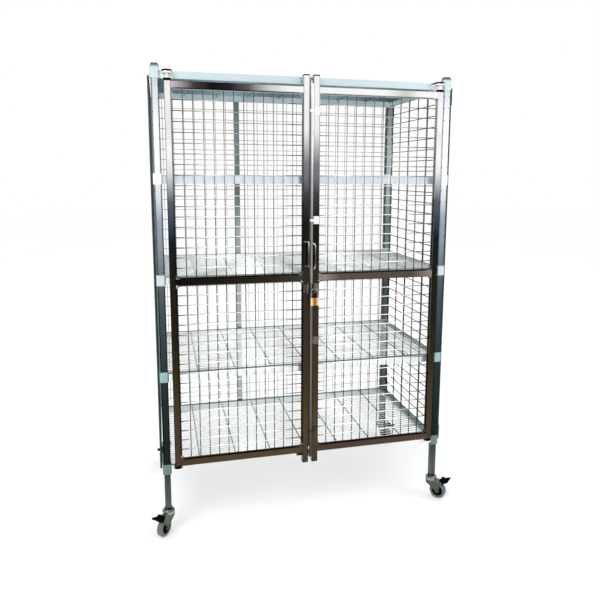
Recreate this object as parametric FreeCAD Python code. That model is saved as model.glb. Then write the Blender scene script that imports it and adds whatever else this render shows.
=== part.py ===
"""Mobile wire-mesh security cage: post-and-collar shelving with four wire shelves and a
wire roof, mesh side and rear panels, two mesh doors with a locking rod, on four swivel
casters with brakes.  Millimetres, +Z up, doors facing -Y, origin on the floor at the
middle of the overall box.  Everything is built about the middle of the post grid and
moved by origin_shift when it is written."""
import FreeCAD, Part
import math
import os

V = FreeCAD.Vector
UP = V(0, 0, 1)

# ---- driving dimensions -------------------------------------------------------------
post_span_x = 1212.0        # post centre to post centre, across the front
post_span_y = 662.0         # post centre to post centre, front to back
origin_shift_x = -5.0       # the pedals reach out unevenly and the doors stand forward,
origin_shift_y = 29.3       # so the post grid isn't centred on the overall box
post_side = 30.0
post_wall = 2.0
post_corner = 3.0
post_hole_radius = 2.0
post_hole_offset = 10.8     # two columns of holes near the edges of each face
post_hole_pitch = 50.0
post_hole_rows = 31
post_first_hole_z = 341.0

shelf_pitch = 401.0
level_count = 5             # four shelves and the roof
collar_bottom_z = 262.0     # lowest collar
collar_side = 36.0
collar_height = 44.0
collar_edge = 5.0           # chamfer on the four upright edges
collar_rim = 2.0

leg_side = 26.0
leg_wall = 2.0
leg_bottom_z = 111.0
leg_inside_post = 90.0
plug_base = 33.0
plug_top = 24.0
plug_height = 12.0

rail_width = 20.0
rail_wall = 1.5
shelf_rail_lift = 4.0       # rail underside above the collar's underside
shelf_rail_height = 30.0
roof_rail_lift = 1.0
roof_rail_height = 28.0
sill_height = 12.0          # the lowest shelf has a low front rail
sill_width = 10.0

deck_wire = 3.5
deck_wire_gaps = 28
deck_rod = 6.0
deck_rod_pitch = 156.0
deck_rod_count = 7
deck_thickness = 4.0
deck_end_gap = 11.0         # outer wire to the rail's inner face

panel_wire = 3.0
panel_border = 6.0
panel_thickness = 4.0
side_border = 8.0
side_thickness = 8.0
panel_bottom_z = 279.0
panel_top_z = 1879.0
panel_rows = 32
side_panel_x = 626.0        # inner face of a side panel
side_panel_half = 335.0
side_panel_columns = 6
rear_gap = 21.5             # post centre to the inner face of the rear panels
rear_panel_count = 3
rear_panel_columns = 8
rear_half_width = 631.0
upright_width = 25.0

hook_width = 12.0
hook_thickness = 3.0
hook_length = 72.0

door_tube = 25.0
door_wall = 1.5
door_setback = 47.0         # door front face ahead of the post centres
door_bottom_z = 310.0
door_top_z = 1854.0
door_middle_z = 1082.0      # centre of the middle rail
door_outer_x = 573.5
door_gap_half = 8.5
strip_edge_x = 8.1          # just clear of the left leaf as either one swings
strip_recess = 3.0
strip_thickness = 2.0
meeting_stile_bottom_z = 268.0
meeting_stile_top_z = 1896.0
end_cap_thickness = 5.0
end_cap_chamfer = 1.5
door_wire = 3.0
door_border = 5.0
door_mesh_columns = 13
door_mesh_rows = 18
door_mesh_thickness = 4.0

pin_radius = 4.0
pin_clearance = 0.08
pin_engagement = 20.0
plug_depth = 22.0
washer_radius = 15.0
washer_height = 9.7
joint_gap = 0.3             # air between faces that turn past each other
tab_thickness = 5.0
tab_width = 38.0
plate_thickness = 3.0
bracket_drop = 7.0          # top tab below the top of the roof rail
nut_radius = 8.0
nut_height = 6.0
cap_height = 7.0            # black cover on each top tab
foot_plate_thickness = 4.0
foot_plate_height = 25.0
foot_overhang = 6.0
keeper_finger = 3.5         # half width of the fingers that hold the rod's cams
keeper_height = 10.0
keeper_pad = 18.0
keeper_top_gap = 3.0        # rod's top end to the upper finger
keeper_bottom_gap = 4.0
keeper_foot_height = 8.0
keeper_overlap = 4.0        # finger tips stop this far behind the doors' front faces
foot_pad_left = -50.0
foot_pad_right = 30.0
foot_pad_rise = 15.0        # pad's lower edge above the lowest collars

rod_radius = 6.0
rod_setback = 55.0          # rod axis ahead of the post centres
rod_bottom_z = 297.0
rod_top_z = 1866.0
rod_cam_reach = 10.5
guide_height = 32.0
guide_centres_z = (409.0, 812.0, 1322.0, 1760.0)
guide_boss_height = 9.0
guide_boss_wall = 2.0
guide_plate = 3.0
guide_inset = 1.0
guide_arm_inset = 12.0
guide_arm_lead = 6.0        # arm's front ahead of the doors' front faces
cam_half_width = 3.5
cam_height = 6.0
cam_end_gap = 2.0           # cams inside the rod's ends
handle_bar = 2.8            # radius of the bent bar
handle_lead = 5.0           # bar ahead of the rod's axis
handle_reach = 15.5
handle_top_z = 1227.0
handle_bottom_z = 1121.0
handle_bend = 12.0
handle_shoulder = 0.75      # share of the reach at the top bend
handle_heel = 0.7           # share of the reach at the bottom tip
pull_bar = 2.8
pull_foot_x = -30.0
pull_x = -14.5
pull_lead = 13.0
pull_top_z = 1234.0
pull_bottom_z = 1132.0

padlock_setback = 72.0
padlock_x = 9.5             # clear of the left leaf's swing
padlock_width = 35.0
padlock_height = 34.0
padlock_depth = 16.0
padlock_bottom_z = 968.0
shackle_radius = 3.2
shackle_half = 14.0
shackle_top_z = 1039.0
right_lug_x = 6.8
case_round = 2.5
shackle_hole_gap = 0.1
shackle_hole_depth = 24.0
shackle_engagement = 12.0   # short leg inside the case
shackle_long_leg = 10.0     # the other leg goes this much deeper
left_lug_x = -23.0
lug_thickness = 2.5
lug_half_height = 18.0
lug_foot_near = 10.0
lug_foot_far = 32.0
lug_eye_reach = 8.0         # eye plate ahead of the shackle's plane
lug_slot_half = 5.0
lug_slot_below = 9.0
lug_slot_above = 14.0

cut_margin = 60.0           # cutting shapes reach this far past the piece

wheel_radius = 37.5
wheel_width = 24.0
hub_radius = 26.0
hub_width = 22.0
trail = 34.0
fork_inner = 14.0
fork_plate = 2.5
fork_top_z = 85.0
cup_radius = 26.0
cup_top_z = 97.0
swivel_top_z = 106.7
stem_radius = 5.0
stem_top_z = 133.0
axle_radius = 4.0
pedal_pivot_x = 50.0
pedal_pivot_z = 80.0
pedal_reach = 91.0
pedal_half_width = 20.0
pedal_pin_radius = 3.0
pedal_barrel_radius = 6.0
crown_back_x = -22.0
crown_front_x = 40.0
crown_thickness = 3.0
dome_top_radius = 14.0
fork_boss_radius = 10.0
axle_head_radius = 6.5
axle_head_thickness = 4.0
axle_gap = 0.1
tyre_round = 5.0
hub_boss_radius = 9.0
hub_dish_radius = 20.0
hub_core_radius = 11.0
hub_web_half = 4.0
side_gap = 0.5              # hub and foot lever to each fork plate
bushing_radius = 16.0
bushing_thickness = 4.0

# ---- positions that follow from them ------------------------------------------------
half_x = post_span_x / 2
half_y = post_span_y / 2
front_y = -half_y
rear_y = half_y
collar_half = collar_side / 2
collar_top_z = collar_bottom_z + collar_height
roof_collar_z = collar_bottom_z + shelf_pitch * (level_count - 1)
post_top_z = roof_collar_z + collar_height
door_front_y = front_y - door_setback
door_axis_y = door_front_y + door_tube / 2
pivot_x = door_outer_x - door_tube / 2
meeting_x = door_gap_half + door_tube / 2
rod_y = front_y - rod_setback
padlock_y = front_y - padlock_setback
rail_face_y = front_y - rail_width / 2
bracket_top_z = roof_collar_z + roof_rail_lift + roof_rail_height - bracket_drop
CASTER_TURNS = {            # direction in which each wheel trails, degrees from +X
    "front_left": -126.0,
    "front_right": -44.0,
    "rear_left": -108.0,
    "rear_right": -66.0,
}
CORNERS = {
    "front_left": (-half_x, front_y),
    "front_right": (half_x, front_y),
    "rear_left": (-half_x, rear_y),
    "rear_right": (half_x, rear_y),
}

parts = {}


def add(name, *solids):
    """Keep one node: a single solid, or a group of separate solids."""
    parts[name] = solids[0] if len(solids) == 1 else Part.makeCompound(list(solids))


# ---- building blocks ----------------------------------------------------------------
def block(x0, x1, y0, y1, z0, z1):
    return Part.makeBox(x1 - x0, y1 - y0, z1 - z0, V(x0, y0, z0))


def rod_between(a, b, radius):
    direction = b.sub(a)
    return Part.makeCylinder(radius, direction.Length, a, direction)


def square_bar(side, length, corner):
    """An upright bar of rounded square section, centred on the Z axis."""
    bar = block(-side / 2, side / 2, -side / 2, side / 2, 0, length)
    uprights = [e for e in bar.Edges if abs(e.tangentAt(e.FirstParameter).z) > 0.9]
    return bar.makeFillet(corner, uprights)


def square_tube(side, wall, length, corner):
    inner = square_bar(side - 2 * wall, length + 2, corner - wall * 0.6)
    inner.translate(V(0, 0, -1))
    return square_bar(side, length, corner).cut(inner)


def tube_along(axis, centre, width, height, length, wall):
    """A rectangular tube along X, Y or Z with its middle at centre."""
    sizes = {"X": (length, width, height), "Y": (width, length, height), "Z": (width, height, length)}
    grow = {"X": (2, -2 * wall, -2 * wall), "Y": (-2 * wall, 2, -2 * wall), "Z": (-2 * wall, -2 * wall, 2)}
    outer = sizes[axis]
    inner = [size + change for size, change in zip(outer, grow[axis])]
    solids = []
    for size in (outer, inner):
        corner = V(centre.x - size[0] / 2, centre.y - size[1] / 2, centre.z - size[2] / 2)
        solids.append(Part.makeBox(size[0], size[1], size[2], corner))
    return solids[0].cut(solids[1])


def bars(start, end, gaps, wire, border):
    """(low, high) of each bar across a grid: two borders inside start and end, wires between."""
    low = start + border / 2
    high = end - border / 2
    spans = []
    for i in range(gaps + 1):
        centre = low + (high - low) * i / gaps
        half = (border if i in (0, gaps) else wire) / 2
        spans.append((centre - half, centre + half))
    return spans


def rectangle(x0, x1, y0, y1):
    return Part.makePolygon([V(x0, y0, 0), V(x1, y0, 0), V(x1, y1, 0), V(x0, y1, 0), V(x0, y0, 0)])


def grid_plate(across, along, thickness):
    """A welded grid lying in XY as one solid, from the bars across X and along Y."""
    wires = [rectangle(across[0][0], across[-1][1], along[0][0], along[-1][1])]
    for left, right in zip(across, across[1:]):
        for lower, upper in zip(along, along[1:]):
            wires.append(rectangle(left[1], right[0], lower[1], upper[0]))
    face = Part.makeFace(wires, "Part::FaceMakerBullseye")
    return face.extrude(V(0, 0, thickness))


def stand_up(plate, y):
    """Turn a plate lying in XY to face -Y, with X kept, its Y as height, and its back at y."""
    plate.rotate(V(0, 0, 0), V(1, 0, 0), 90)
    plate.translate(V(0, y, 0))
    return plate


def mirrored(shape):
    return shape.mirror(V(0, 0, 0), V(1, 0, 0))


# ---- posts, legs, plugs and collars -------------------------------------------------
def perforated_post():
    length = post_top_z - collar_bottom_z
    post = square_tube(post_side, post_wall, length, post_corner)
    holes = []
    reach = post_side + 2
    for row in range(post_hole_rows):
        z = post_first_hole_z - collar_bottom_z + row * post_hole_pitch
        for offset in (-post_hole_offset, post_hole_offset):
            through_y = V(offset, -reach / 2, z)
            through_x = V(-reach / 2, offset, z)
            holes.append(Part.makeCylinder(post_hole_radius, reach, through_y, V(0, 1, 0)))
            holes.append(Part.makeCylinder(post_hole_radius, reach, through_x, V(1, 0, 0)))
    return post.cut(Part.makeCompound(holes))


def collar():
    body = block(-collar_half, collar_half, -collar_half, collar_half, 0, collar_height)
    uprights = [e for e in body.Edges if abs(e.tangentAt(e.FirstParameter).z) > 0.9]
    body = body.makeChamfer(collar_edge, uprights)
    rims = [e for e in body.Edges if abs(e.tangentAt(e.FirstParameter).z) < 0.1]
    body = body.makeChamfer(collar_rim, rims)
    hole = block(-post_side / 2, post_side / 2, -post_side / 2, post_side / 2, -1, collar_height + 1)
    return body.cut(hole)


def top_plug():
    profiles = []
    for side, z in ((plug_base, 0), (plug_top, plug_height)):
        outline = rectangle(-side / 2, side / 2, -side / 2, side / 2)
        outline.translate(V(0, 0, z))
        profiles.append(outline)
    return Part.makeLoft(profiles, True, True)


def at(shape, x, y, z):
    placed = shape.copy()
    placed.translate(V(x, y, z))
    return placed


post_model = perforated_post()
leg_model = square_tube(leg_side, leg_wall, collar_bottom_z + leg_inside_post - leg_bottom_z, 2.0)
collar_model = collar()
plug_model = top_plug()
legs = []
plugs = []
collars = []
for corner_name, (x, y) in CORNERS.items():
    add("post_" + corner_name, at(post_model, x, y, collar_bottom_z))
    legs.append(at(leg_model, x, y, leg_bottom_z))
    plugs.append(at(plug_model, x, y, post_top_z))
    for level in range(level_count):
        collars.append(at(collar_model, x, y, collar_bottom_z + level * shelf_pitch))
add("legs", *legs)
add("post_top_plugs", *plugs)
add("corner_collars", *collars)


# ---- shelves ------------------------------------------------------------------------
rail_run_x = post_span_x - collar_side
rail_run_y = post_span_y - collar_side


def shelf_rails(underside_z, height, front_height):
    z = underside_z + height / 2
    rails = [tube_along("X", V(0, rear_y, z), rail_width, height, rail_run_x, rail_wall)]
    for x in (-half_x, half_x):
        rails.append(tube_along("Y", V(x, 0, z), rail_width, height, rail_run_y, rail_wall))
    top = underside_z + height
    if front_height < height:
        centre = V(0, front_y + sill_width / 2, top - front_height / 2)
        rails.append(tube_along("X", centre, sill_width, front_height, rail_run_x, rail_wall))
    else:
        rails.append(tube_along("X", V(0, front_y, z), rail_width, height, rail_run_x, rail_wall))
    return rails


def deck(top_z):
    inner_x = half_x - rail_width / 2
    inner_y = half_y - rail_width / 2
    wire_y = inner_y - deck_end_gap
    along = bars(-wire_y, wire_y, deck_wire_gaps, deck_wire, deck_wire)
    across = [(-inner_x, -inner_x + deck_rod)]
    supports = []
    for i in range(deck_rod_count):
        x = (i - (deck_rod_count - 1) / 2) * deck_rod_pitch
        across.append((x - deck_rod / 2, x + deck_rod / 2))
        supports.append(block(x - deck_rod / 2, x + deck_rod / 2, -inner_y, inner_y, -deck_rod, 0.5))
    across.append((inner_x - deck_rod, inner_x))
    grid = grid_plate(across, along, deck_thickness)
    solid = grid.multiFuse(supports).removeSplitter()
    solid.translate(V(0, 0, top_z - deck_thickness))
    return solid.Solids[0]


for level in range(level_count):
    base = collar_bottom_z + level * shelf_pitch
    is_roof = level == level_count - 1
    name = "roof" if is_roof else "shelf_%d" % (level + 1)
    lift = roof_rail_lift if is_roof else shelf_rail_lift
    height = roof_rail_height if is_roof else shelf_rail_height
    front = sill_height if level == 0 else height
    add(name + "_rails", *shelf_rails(base + lift, height, front))
    add(name + "_deck", deck(base + lift + height))


# ---- side and rear panels -----------------------------------------------------------
def side_panel():
    along = bars(-side_panel_half, side_panel_half, side_panel_columns, panel_wire, side_border)
    up = bars(panel_bottom_z, panel_top_z, panel_rows, panel_wire, side_border)
    plate = stand_up(grid_plate(along, up, side_thickness), 0)
    plate.rotate(V(0, 0, 0), UP, 90)
    plate.translate(V(side_panel_x, 0, 0))
    return plate


def rear_panel(x0, x1):
    across = bars(x0, x1, rear_panel_columns, panel_wire, panel_border)
    up = bars(panel_bottom_z, panel_top_z, panel_rows, panel_wire, panel_border)
    return stand_up(grid_plate(across, up, panel_thickness), rear_y + rear_gap + panel_thickness)


panel_right = side_panel()
add("side_panel_right", panel_right)
add("side_panel_left", mirrored(panel_right))
rear_width = 2 * rear_half_width / rear_panel_count
rear_edges = [-rear_half_width + i * rear_width for i in range(rear_panel_count + 1)]
add("rear_panels", *[rear_panel(a + 0.5, b - 0.5) for a, b in zip(rear_edges, rear_edges[1:])])
upright_y = rear_y + rail_width / 2
uprights = []
for x in rear_edges[1:-1]:
    low_z = collar_bottom_z + shelf_rail_lift
    high_z = post_top_z - collar_height + roof_rail_lift + roof_rail_height
    half = upright_width / 2
    uprights.append(block(x - half, x + half, upright_y, rear_y + rear_gap, low_z, high_z))
add("rear_uprights", *uprights)


def side_strap(y, low_z, high_z):
    """A flat strap up the outside of a side panel's edge."""
    outer = side_panel_x + side_thickness
    half = hook_width / 2
    return block(outer, outer + hook_thickness, y - half, y + half, low_z, high_z)


def top_hook(y):
    """A strap whose lip reaches over the panel to the collar beside it."""
    strap = side_strap(y, panel_top_z - hook_length, panel_top_z)
    reach = side_panel_x + side_thickness + hook_thickness
    half = hook_width / 2
    lip = block(half_x + collar_half, reach, y - half, y + half, panel_top_z, panel_top_z + hook_thickness)
    return strap.fuse(lip).removeSplitter()


hooks = []
for y in (front_y, rear_y):
    for hook in (top_hook(y), side_strap(y, panel_bottom_z, panel_bottom_z + hook_length)):
        hooks.append(hook)
        hooks.append(mirrored(hook))
add("panel_hooks", *hooks)


# ---- door pivots on the frame -------------------------------------------------------
def rounded_tab(z0, z1):
    """The flat tab under or over a stile, round at its front end."""
    half = tab_width / 2
    nose = Part.makeCylinder(half, z1 - z0, V(pivot_x, door_axis_y, z0))
    bed = block(pivot_x - half, pivot_x + half, door_axis_y, rail_face_y, z0, z1)
    return nose.fuse(bed).removeSplitter()


def top_bracket():
    """A plate on the roof rail with a tab overhead, and the pin and collar nut below it."""
    half = tab_width / 2
    low_z = door_top_z + joint_gap + washer_height
    tab_z = bracket_top_z - tab_thickness
    plate_y = rail_face_y - plate_thickness
    plate = block(pivot_x - half, pivot_x + half, plate_y, rail_face_y, low_z, bracket_top_z)
    pin_low = door_top_z - pin_engagement
    pin = Part.makeCylinder(pin_radius, tab_z - pin_low, V(pivot_x, door_axis_y, pin_low))
    nut = Part.makeCylinder(nut_radius, nut_height, V(pivot_x, door_axis_y, low_z))
    neck_z = low_z + nut_height
    neck = Part.makeCone(nut_radius - 1, pin_radius + 1, nut_height, V(pivot_x, door_axis_y, neck_z))
    tab = rounded_tab(tab_z, bracket_top_z)
    return tab.multiFuse([plate, pin, nut, neck]).removeSplitter()


def bottom_bracket():
    tab_z = door_bottom_z - joint_gap - washer_height
    low_z = tab_z - tab_thickness
    tab = rounded_tab(low_z, tab_z)
    inner = pivot_x - tab_width / 2 - foot_overhang
    outer = half_x - collar_half
    plate_y = rail_face_y - foot_plate_thickness
    plate = block(inner, outer, plate_y, rail_face_y, tab_z - foot_plate_height, tab_z)
    pin_length = door_bottom_z + pin_engagement - low_z
    pin = Part.makeCylinder(pin_radius, pin_length, V(pivot_x, door_axis_y, low_z))
    return tab.multiFuse([plate, pin]).removeSplitter()


def washer(z):
    ring = Part.makeCylinder(washer_radius, washer_height, V(pivot_x, door_axis_y, z))
    return ring.cut(Part.makeCylinder(pin_radius, washer_height, V(pivot_x, door_axis_y, z)))


upper = top_bracket()
lower = bottom_bracket()
add("door_brackets_top", mirrored(upper), upper)
add("door_brackets_bottom", mirrored(lower), lower)
bracket_cap = rounded_tab(bracket_top_z, bracket_top_z + cap_height)
add("bracket_caps", mirrored(bracket_cap), bracket_cap)
pivot_washers = []
for z in (door_bottom_z - joint_gap - washer_height, door_top_z + joint_gap):
    ring = washer(z)
    pivot_washers.append(ring)
    pivot_washers.append(mirrored(ring))
add("pivot_washers", *pivot_washers)


def rod_keepers():
    """Fingers that reach forward between the meeting stiles, over and under the rod's cams."""
    tip_y = front_y - door_setback + keeper_overlap
    roof_z = rod_top_z + keeper_top_gap
    pad_top_z = roof_collar_z + roof_rail_lift + roof_rail_height
    upper_bar = block(-keeper_finger, keeper_finger, tip_y, rail_face_y, roof_z, roof_z + keeper_height)
    upper_pad = block(-keeper_pad, keeper_pad, rail_face_y - plate_thickness, rail_face_y, roof_z, pad_top_z)
    low_z = rod_bottom_z - keeper_bottom_gap
    plate_y = front_y - foot_plate_thickness
    lower_pad = block(foot_pad_left, foot_pad_right, plate_y, front_y, collar_bottom_z + foot_pad_rise, low_z)
    lower_bar = block(-keeper_finger, keeper_finger, tip_y, plate_y, low_z - keeper_foot_height, low_z)
    return upper_bar.fuse(upper_pad).removeSplitter(), lower_pad.fuse(lower_bar).removeSplitter()


add("rod_keepers", *rod_keepers())


# ---- doors --------------------------------------------------------------------------
rail_start = door_gap_half + door_tube
rail_end = door_outer_x - door_tube
middle_low = door_middle_z - door_tube / 2
middle_high = door_middle_z + door_tube / 2


def door_frame():
    """The right leaf's five tubes: pivot stile, meeting stile and three rails."""
    stile_mid = (door_bottom_z + door_top_z) / 2
    pivot = tube_along("Z", V(pivot_x, door_axis_y, stile_mid), door_tube, door_tube,
                       door_top_z - door_bottom_z, door_wall)
    meeting_mid = (meeting_stile_bottom_z + meeting_stile_top_z) / 2
    meeting = tube_along("Z", V(meeting_x, door_axis_y, meeting_mid), door_tube, door_tube,
                         meeting_stile_top_z - meeting_stile_bottom_z, door_wall)
    frame = [pivot, meeting]
    for z in (door_bottom_z + door_tube / 2, door_middle_z, door_top_z - door_tube / 2):
        centre = V((rail_start + rail_end) / 2, door_axis_y, z)
        frame.append(tube_along("X", centre, door_tube, door_tube, rail_end - rail_start, door_wall))
    return frame


def door_mesh():
    across = bars(rail_start, rail_end, door_mesh_columns, door_wire, door_border)
    panels = []
    for z0, z1 in ((door_bottom_z + door_tube, middle_low), (middle_high, door_top_z - door_tube)):
        up = bars(z0, z1, door_mesh_rows, door_wire, door_border)
        plate = grid_plate(across, up, door_mesh_thickness)
        panels.append(stand_up(plate, door_axis_y + door_mesh_thickness / 2))
    return panels


def door_end_fittings():
    """Bored plugs in the pivot stile's ends and flat caps on the meeting stile's ends."""
    half = door_tube / 2 - door_wall
    fittings = []
    for z0 in (door_bottom_z, door_top_z - plug_depth):
        plug = block(pivot_x - half, pivot_x + half, door_axis_y - half, door_axis_y + half,
                     z0, z0 + plug_depth)
        bore = Part.makeCylinder(pin_radius + pin_clearance, plug_depth, V(pivot_x, door_axis_y, z0))
        fittings.append(plug.cut(bore))
    cap_half = door_tube / 2
    for z0 in (meeting_stile_bottom_z - end_cap_thickness, meeting_stile_top_z):
        cap = block(meeting_x - cap_half, meeting_x + cap_half, door_axis_y - cap_half,
                    door_axis_y + cap_half, z0, z0 + end_cap_thickness)
        outward = z0 if z0 < door_middle_z else z0 + end_cap_thickness
        rim = [e for e in cap.Edges if abs(e.CenterOfMass.z - outward) < 0.01]
        fittings.append(cap.makeChamfer(end_cap_chamfer, rim))
    return fittings


def gap_strip():
    """A flat strip up the right leaf that fills the gap between the meeting stiles."""
    front = door_front_y + strip_recess
    low_z = door_bottom_z + door_tube
    high_z = door_top_z - door_tube
    return block(-strip_edge_x, door_gap_half, front, front + strip_thickness, low_z, high_z)


right_frame = door_frame()
right_mesh = door_mesh()
right_fittings = door_end_fittings()
add("door_right_frame", *right_frame)
add("door_right_mesh", *right_mesh)
add("door_right_end_fittings", *right_fittings)
add("door_right_strip", gap_strip())
add("door_left_frame", *[mirrored(s) for s in right_frame])
add("door_left_mesh", *[mirrored(s) for s in right_mesh])
add("door_left_end_fittings", *[mirrored(s) for s in right_fittings])


# ---- lock: rod, guides, handle, pull, lugs and padlock ------------------------------
def rod_guides():
    """A plate across the right meeting stile with a short bored boss round the rod."""
    guides = []
    boss_radius = rod_radius + guide_boss_wall
    plate_y = door_front_y - guide_plate
    arm_y = door_front_y - guide_arm_lead
    for z in guide_centres_z:
        low = z - guide_height / 2
        boss_low = z - guide_boss_height / 2
        boss_high = boss_low + guide_boss_height
        base = block(door_gap_half + guide_inset, rail_start - guide_inset, plate_y, door_front_y,
                     low, low + guide_height)
        arm = block(0, rail_start - guide_arm_inset, arm_y, door_front_y - guide_inset, boss_low, boss_high)
        boss = Part.makeCylinder(boss_radius, guide_boss_height, V(0, rod_y, boss_low))
        body = base.multiFuse([arm, boss]).removeSplitter()
        bore = Part.makeCylinder(rod_radius + pin_clearance, guide_boss_height + 2, V(0, rod_y, boss_low - 1))
        guides.append(body.cut(bore))
    return guides


def lock_rod():
    rod = Part.makeCylinder(rod_radius, rod_top_z - rod_bottom_z, V(0, rod_y, rod_bottom_z))
    cams = []
    for z in (rod_bottom_z + cam_end_gap, rod_top_z - cam_end_gap - cam_height):
        cams.append(block(-cam_half_width, cam_half_width, rod_y, rod_y + rod_cam_reach, z, z + cam_height))
    return rod.multiFuse(cams).removeSplitter()


def bent_bar(points, radius):
    """A round bar along a chain of points, with a ball at each bend."""
    pieces = [rod_between(a, b, radius) for a, b in zip(points, points[1:])]
    pieces += [Part.makeSphere(radius, p) for p in points[1:]]
    return pieces[0].multiFuse(pieces[1:]).removeSplitter()


def lock_handle():
    y = rod_y - handle_lead
    points = [
        V(rod_radius - 1, rod_y - 2, handle_top_z),
        V(handle_reach * handle_shoulder, y, handle_top_z - 2),
        V(handle_reach, y, handle_top_z - handle_bend),
        V(handle_reach, y, handle_bottom_z + handle_bend),
        V(handle_reach * handle_heel, y, handle_bottom_z),
    ]
    clear_of_rod = Part.makeCylinder(rod_radius, 2 * cut_margin, V(0, rod_y, handle_top_z - cut_margin))
    return bent_bar(points, handle_bar).cut(clear_of_rod)


def door_pull():
    y = rod_y - pull_lead
    points = [
        V(pull_foot_x, door_front_y, pull_top_z),
        V(pull_x, y, pull_top_z),
        V(pull_x, y, pull_bottom_z),
        V(pull_foot_x, door_front_y, pull_bottom_z),
    ]
    inside_door = block(-2 * cut_margin, 2 * cut_margin, door_front_y, door_front_y + cut_margin,
                        pull_bottom_z - cut_margin, pull_top_z + cut_margin)
    return bent_bar(points, pull_bar).cut(inside_door)


def lug(near, side):
    """A plate on a meeting stile with an upright eye for the padlock."""
    far = near + lug_thickness
    low = shackle_top_z - lug_half_height
    high = shackle_top_z + lug_half_height
    foot = sorted((side * lug_foot_near, side * lug_foot_far))
    foot = (min(foot[0], near), foot[1]) if side > 0 else foot
    base = block(foot[0], foot[1], door_front_y - lug_thickness, door_front_y, low, high)
    eye_plate = block(near, far, padlock_y - lug_eye_reach, door_front_y, low, high)
    slot = block(near - 1, far + 1, padlock_y - lug_slot_half, padlock_y + lug_slot_half,
                 shackle_top_z - lug_slot_below, shackle_top_z + lug_slot_above)
    return base.fuse(eye_plate).cut(slot).removeSplitter()


def padlock_case():
    low_x = padlock_x - padlock_width / 2
    case = block(low_x, low_x + padlock_width, padlock_y - padlock_depth / 2,
                 padlock_y + padlock_depth / 2, padlock_bottom_z, padlock_bottom_z + padlock_height)
    case = case.makeFillet(case_round, case.Edges)
    floor_z = padlock_bottom_z + padlock_height - shackle_hole_depth
    for x in (padlock_x - shackle_half, padlock_x + shackle_half):
        hole = Part.makeCylinder(shackle_radius + shackle_hole_gap, 30, V(x, padlock_y, floor_z))
        case = case.cut(hole)
    return case


def padlock_shackle():
    crown_z = shackle_top_z - shackle_half
    foot = padlock_bottom_z + padlock_height - shackle_engagement
    centre = V(padlock_x, padlock_y, crown_z)
    crown = Part.makeTorus(shackle_half, shackle_radius, centre, V(0, 1, 0), -180, 180)
    upper = block(padlock_x - cut_margin, padlock_x + cut_margin, padlock_y - cut_margin,
                  padlock_y + cut_margin, crown_z, crown_z + cut_margin)
    legs_of_shackle = []
    for x, low in ((padlock_x - shackle_half, foot - shackle_long_leg), (padlock_x + shackle_half, foot)):
        legs_of_shackle.append(Part.makeCylinder(shackle_radius, crown_z - low, V(x, padlock_y, low)))
    return crown.common(upper).multiFuse(legs_of_shackle).removeSplitter()


add("rod_guides", *rod_guides())
add("lock_rod", lock_rod())
add("lock_handle", lock_handle())
add("door_left_pull", door_pull())
add("door_right_lug", lug(right_lug_x, 1))
add("door_left_lug", lug(left_lug_x, -1))
add("padlock_case", padlock_case())
add("padlock_shackle", padlock_shackle())


# ---- casters ------------------------------------------------------------------------
def along_y(radius, half_width, x, z):
    return Part.makeCylinder(radius, 2 * half_width, V(x, -half_width, z), V(0, 1, 0))


def side_plate(outline, y0, thickness):
    """A flat plate with its outline in XZ, standing from y0."""
    wire = Part.makePolygon([V(x, y0, z) for x, z in outline + outline[:1]])
    return Part.Face(wire).extrude(V(0, thickness, 0))


def fork_side(y0):
    outline = [(-22, fork_top_z), (54, fork_top_z), (57, fork_top_z - 12), (46, fork_top_z - 27),
               (trail + 10, wheel_radius), (trail - 10, wheel_radius), (-20, fork_top_z - 16)]
    boss = Part.makeCylinder(fork_boss_radius, fork_plate, V(trail, y0, wheel_radius), V(0, 1, 0))
    return side_plate(outline, y0, fork_plate).fuse(boss)


def caster_fork():
    outer = fork_inner + fork_plate
    crown = block(crown_back_x, crown_front_x, -outer, outer, fork_top_z - crown_thickness, fork_top_z)
    cup = Part.makeCylinder(cup_radius, cup_top_z - fork_top_z, V(0, 0, fork_top_z))
    dome = Part.makeCone(cup_radius - 2, dome_top_radius, swivel_top_z - cup_top_z, V(0, 0, cup_top_z))
    stem = Part.makeCylinder(stem_radius, stem_top_z - swivel_top_z, V(0, 0, swivel_top_z))
    pin = along_y(pedal_pin_radius, outer, pedal_pivot_x, pedal_pivot_z)
    solid = fork_side(-outer).multiFuse([fork_side(fork_inner), crown, cup, dome, stem, pin])
    solid = solid.cut(along_y(axle_radius + axle_gap, outer + 1, trail, wheel_radius))
    return solid.removeSplitter()


def caster_axle():
    outer = fork_inner + fork_plate
    shank = along_y(axle_radius, outer + axle_head_thickness, trail, wheel_radius)
    heads = []
    for y in (-outer - axle_head_thickness, outer):
        place = V(trail, y, wheel_radius)
        heads.append(Part.makeCylinder(axle_head_radius, axle_head_thickness, place, V(0, 1, 0)))
    return shank.multiFuse(heads).removeSplitter()


def caster_tyre():
    ring = along_y(wheel_radius, wheel_width / 2, trail, wheel_radius)
    rims = [e for e in ring.Edges if abs(e.Length - 2 * math.pi * wheel_radius) < 1]
    ring = ring.makeFillet(tyre_round, rims)
    return ring.cut(along_y(hub_radius, wheel_width, trail, wheel_radius))


def caster_hub():
    disc = along_y(hub_radius, hub_width / 2, trail, wheel_radius)
    boss = along_y(hub_boss_radius, fork_inner - side_gap, trail, wheel_radius)
    core = along_y(hub_core_radius, hub_width, trail, wheel_radius)
    dish = along_y(hub_dish_radius, hub_width, trail, wheel_radius).cut(core)
    web = along_y(hub_radius, hub_web_half, trail, wheel_radius)
    bore = along_y(axle_radius + pin_clearance, hub_width, trail, wheel_radius)
    return disc.cut(dish).multiFuse([web, boss]).cut(bore).removeSplitter()


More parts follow.
